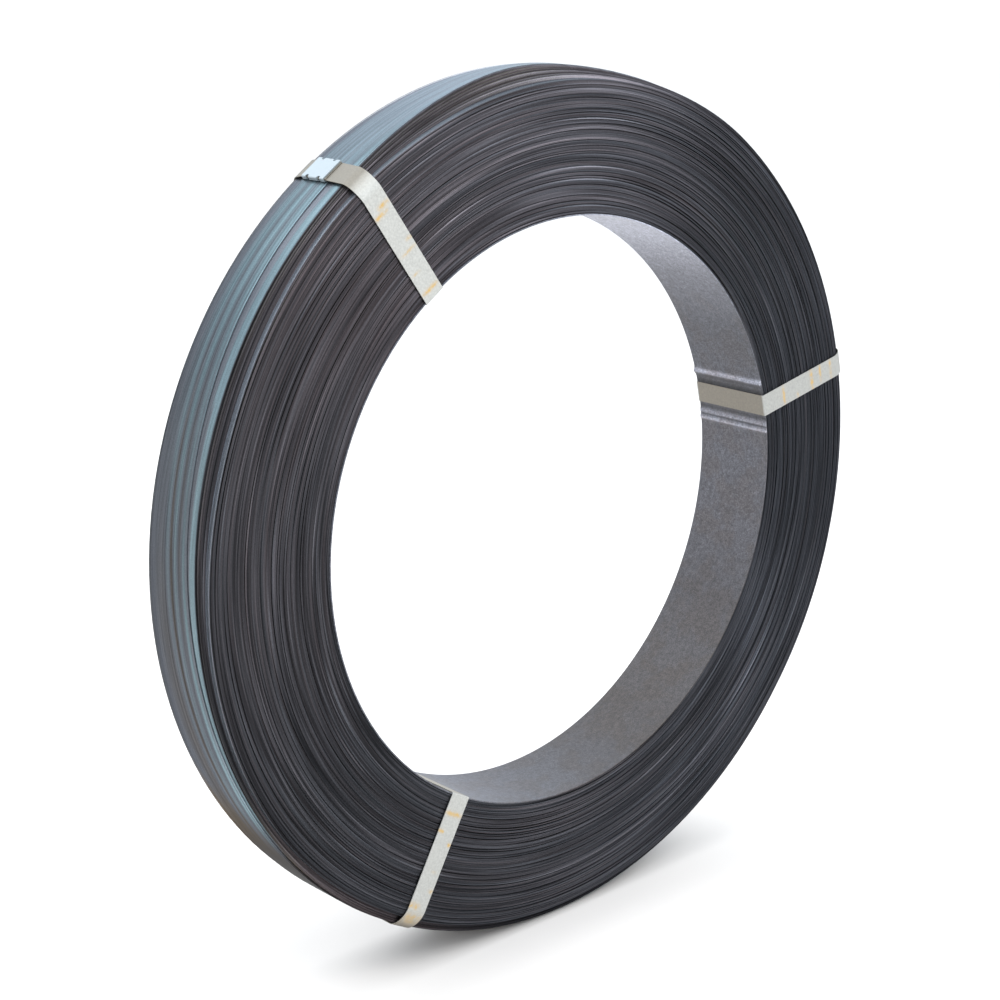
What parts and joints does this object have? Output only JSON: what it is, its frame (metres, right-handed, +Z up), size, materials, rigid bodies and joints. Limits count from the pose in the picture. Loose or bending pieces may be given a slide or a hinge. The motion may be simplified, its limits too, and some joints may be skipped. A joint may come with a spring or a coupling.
{
  "type": "steel coil",
  "caption": "Coil of dark blued steel strap, a ring with a wide open bore and its turns showing on both ends, held by flat galvanised tie bands with crimped seals.",
  "frame": {"origin": "centre of the bore, half way between the end faces", "axes": "+Z up with the coil standing on its rim, +Y along the bore away from the front end face, +X to the right as seen from the front"},
  "size_m": [0.597, 0.0689, 0.597],
  "materials": {
    "coil_steel": "blued strap steel, dark on the turn edges and steel blue on the rim",
    "tie_band": "galvanised strap with rust stains",
    "seal": "galvanised sheet, crimped"
  },
  "bodies": {
    "root": {"coil": "coil_steel", "tie_band_right": "tie_band", "tie_band_upper": "tie_band", "tie_band_lower": "tie_band", "seal_right": "seal", "seal_upper": "seal", "seal_lower": "seal"}
  },
  "joints": []
}
